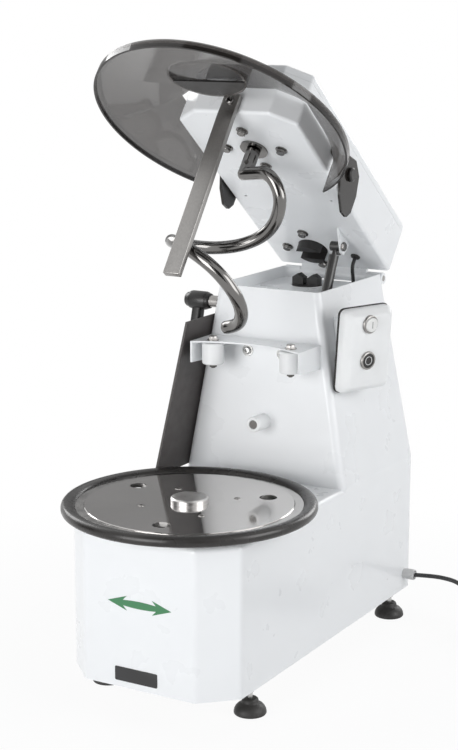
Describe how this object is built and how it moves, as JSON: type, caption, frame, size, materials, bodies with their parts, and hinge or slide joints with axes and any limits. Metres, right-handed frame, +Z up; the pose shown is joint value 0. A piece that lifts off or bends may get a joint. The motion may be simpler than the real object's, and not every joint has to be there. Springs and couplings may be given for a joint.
{
  "type": "dough mixer",
  "caption": "Bench-height spiral dough mixer with its tilting head raised: boxy base and tapered column, round turntable for a bowl, spiral hook, breaker bar and hinged smoked shield.",
  "frame": {"origin": "on the floor, at the middle of the machine without its mains cord", "axes": "+Z up, front towards -Y, +X to the viewer's right when facing the front"},
  "size_m": [0.598, 0.7191, 0.9775],
  "materials": {
    "white_paint": "glossy white coat",
    "zinc": "dull zinc plating",
    "black_rubber": "matte",
    "steel": "bright turned",
    "cast_grey": "grey primer",
    "motor_paint": "satin",
    "belt_rubber": "matte",
    "white_plastic": "smooth",
    "grey_plastic": "smooth",
    "cord_grey": "smooth sheath",
    "ring_rubber": "satin",
    "guard_black": "fine grain",
    "mirror_steel": "polished with faint turning rings",
    "aluminium": "turned",
    "black_clutch": "blackened steel",
    "brushed": "brushed along its length",
    "black_plastic": "fine grain",
    "black_cable": "smooth sheath",
    "polished": "polished",
    "smoked": "translucent smoked sheet",
    "black_tube": "satin",
    "button_white": "glossy"
  },
  "bodies": {
    "base": {"body_shell": "white_paint", "bottom_plate": "zinc", "foot_pads": "black_rubber", "foot_studs": "zinc", "rear_cover": "white_paint", "wall_screws": "steel", "gearbox": "cast_grey", "motor": "motor_paint", "shaft_bearing": "cast_grey", "bowl_bearings": "cast_grey", "bowl_belt": "belt_rubber", "roller_bracket": "white_paint", "column_bolts": "steel", "bowl_bumper": "white_plastic", "control_bracket": "white_paint", "control_gasket": "black_rubber", "control_box": "white_plastic", "button_bezels": "steel", "side_guard": "guard_black", "hinge_pin": "steel", "gas_lower_bracket": "zinc", "cable_gland": "grey_plastic", "mains_cord": "cord_grey", "cord_coil": "cord_grey", "mains_plug": "cord_grey"},
    "turntable": {"turntable_disc": "mirror_steel", "turntable_pan": "aluminium", "rubber_ring": "ring_rubber", "table_screws": "steel", "bowl_spigot": "aluminium", "bowl_shaft": "steel", "bowl_pulley": "aluminium"},
    "base_drive": {"drive_shaft": "steel", "drive_pulley": "aluminium", "lower_clutch": "black_clutch"},
    "head": {"head_frame": "white_paint", "head_cover": "white_paint", "clutch_bearing": "cast_grey", "spiral_bearing": "cast_grey", "head_bolts": "steel", "breaker_bar": "brushed", "grommet": "black_rubber", "shield_pivots": "black_plastic", "head_belt": "belt_rubber", "head_cable": "black_cable"},
    "head_input": {"input_shaft": "steel", "upper_clutch": "black_clutch"},
    "spiral": {"spiral_shaft": "polished", "spiral_hook": "polished"},
    "shield": {"shield": "smoked", "port_flap": "black_plastic"},
    "lock": {"lock_lever": "black_plastic", "lock_shaft": "steel"},
    "roller_left": {"roller_left": "white_plastic"},
    "roller_right": {"roller_right": "white_plastic"},
    "gas_tube": {"gas_cylinder": "black_tube"},
    "gas_stem": {"gas_rod": "steel"},
    "start": {"start_button": "button_white"},
    "stop": {"stop_button": "black_plastic"}
  },
  "joints": [
    {"name": "head_tilt", "type": "hinge", "parent": "base", "child": "head", "pos_m": [0, 0.304, 0.576], "axis": [1, 0, 0], "range_deg": [0, 38.3], "deforming": ["head_cable"]},
    {"name": "shield_lift", "type": "hinge", "parent": "head", "child": "shield", "pos_m": [0, 0.14045, 0.7634], "axis": [-1, 0, 0], "range_deg": [0, 80]},
    {"name": "spiral_spin", "type": "hinge", "parent": "head", "child": "spiral", "pos_m": [0, 0.01991, 0.80036], "axis": [0, 0.6198, 0.7848], "continuous": true},
    {"name": "input_spin", "type": "hinge", "parent": "head", "child": "head_input", "pos_m": [-0.017, 0.25103, 0.61784], "axis": [0, 0.6198, 0.7848], "continuous": true},
    {"name": "turntable_spin", "type": "hinge", "parent": "base", "child": "turntable", "pos_m": [0, -0.168, 0.29], "axis": [0, 0, 1], "continuous": true},
    {"name": "drive_spin", "type": "hinge", "parent": "base", "child": "base_drive", "pos_m": [-0.017, 0.2365, 0.3], "axis": [0, 0, 1], "continuous": true},
    {"name": "spring_eye", "type": "hinge", "parent": "head", "child": "gas_tube", "pos_m": [0.046, 0.21631, 0.63761], "axis": [1, 0, 0], "range_deg": [-42, 1]},
    {"name": "spring_stroke", "type": "slide", "parent": "gas_tube", "child": "gas_stem", "axis": [0, 0.4182, 0.9083], "range_m": [0, 0.07]},
    {"name": "lock_turn", "type": "hinge", "parent": "base", "child": "lock", "pos_m": [-0.115, 0.089, 0.552], "axis": [-1, 0, 0], "range_deg": [0, 60]},
    {"name": "roller_left_spin", "type": "hinge", "parent": "base", "child": "roller_left", "pos_m": [-0.0695, 0.019, 0.4835], "axis": [0, 0, 1], "continuous": true},
    {"name": "roller_right_spin", "type": "hinge", "parent": "base", "child": "roller_right", "pos_m": [0.0695, 0.019, 0.4835], "axis": [0, 0, 1], "continuous": true},
    {"name": "start_press", "type": "slide", "parent": "base", "child": "start", "axis": [-0.9272, 0.3746, 0], "range_m": [0, 0.003], "stiffness_N_per_m": 600},
    {"name": "stop_press", "type": "slide", "parent": "base", "child": "stop", "axis": [-0.9272, 0.3746, 0], "range_m": [0, 0.003], "stiffness_N_per_m": 600}
  ],
  "couplings": [
    {"joint": "input_spin", "follows": "spiral_spin", "ratio": 1},
    {"joint": "drive_spin", "follows": "turntable_spin", "ratio": 4},
    {"joint": "spring_eye", "follows": "head_tilt", "ratio": -1.077},
    {"joint": "spring_stroke", "follows": "head_tilt", "m_per_rad": 0.10354}
  ]
}
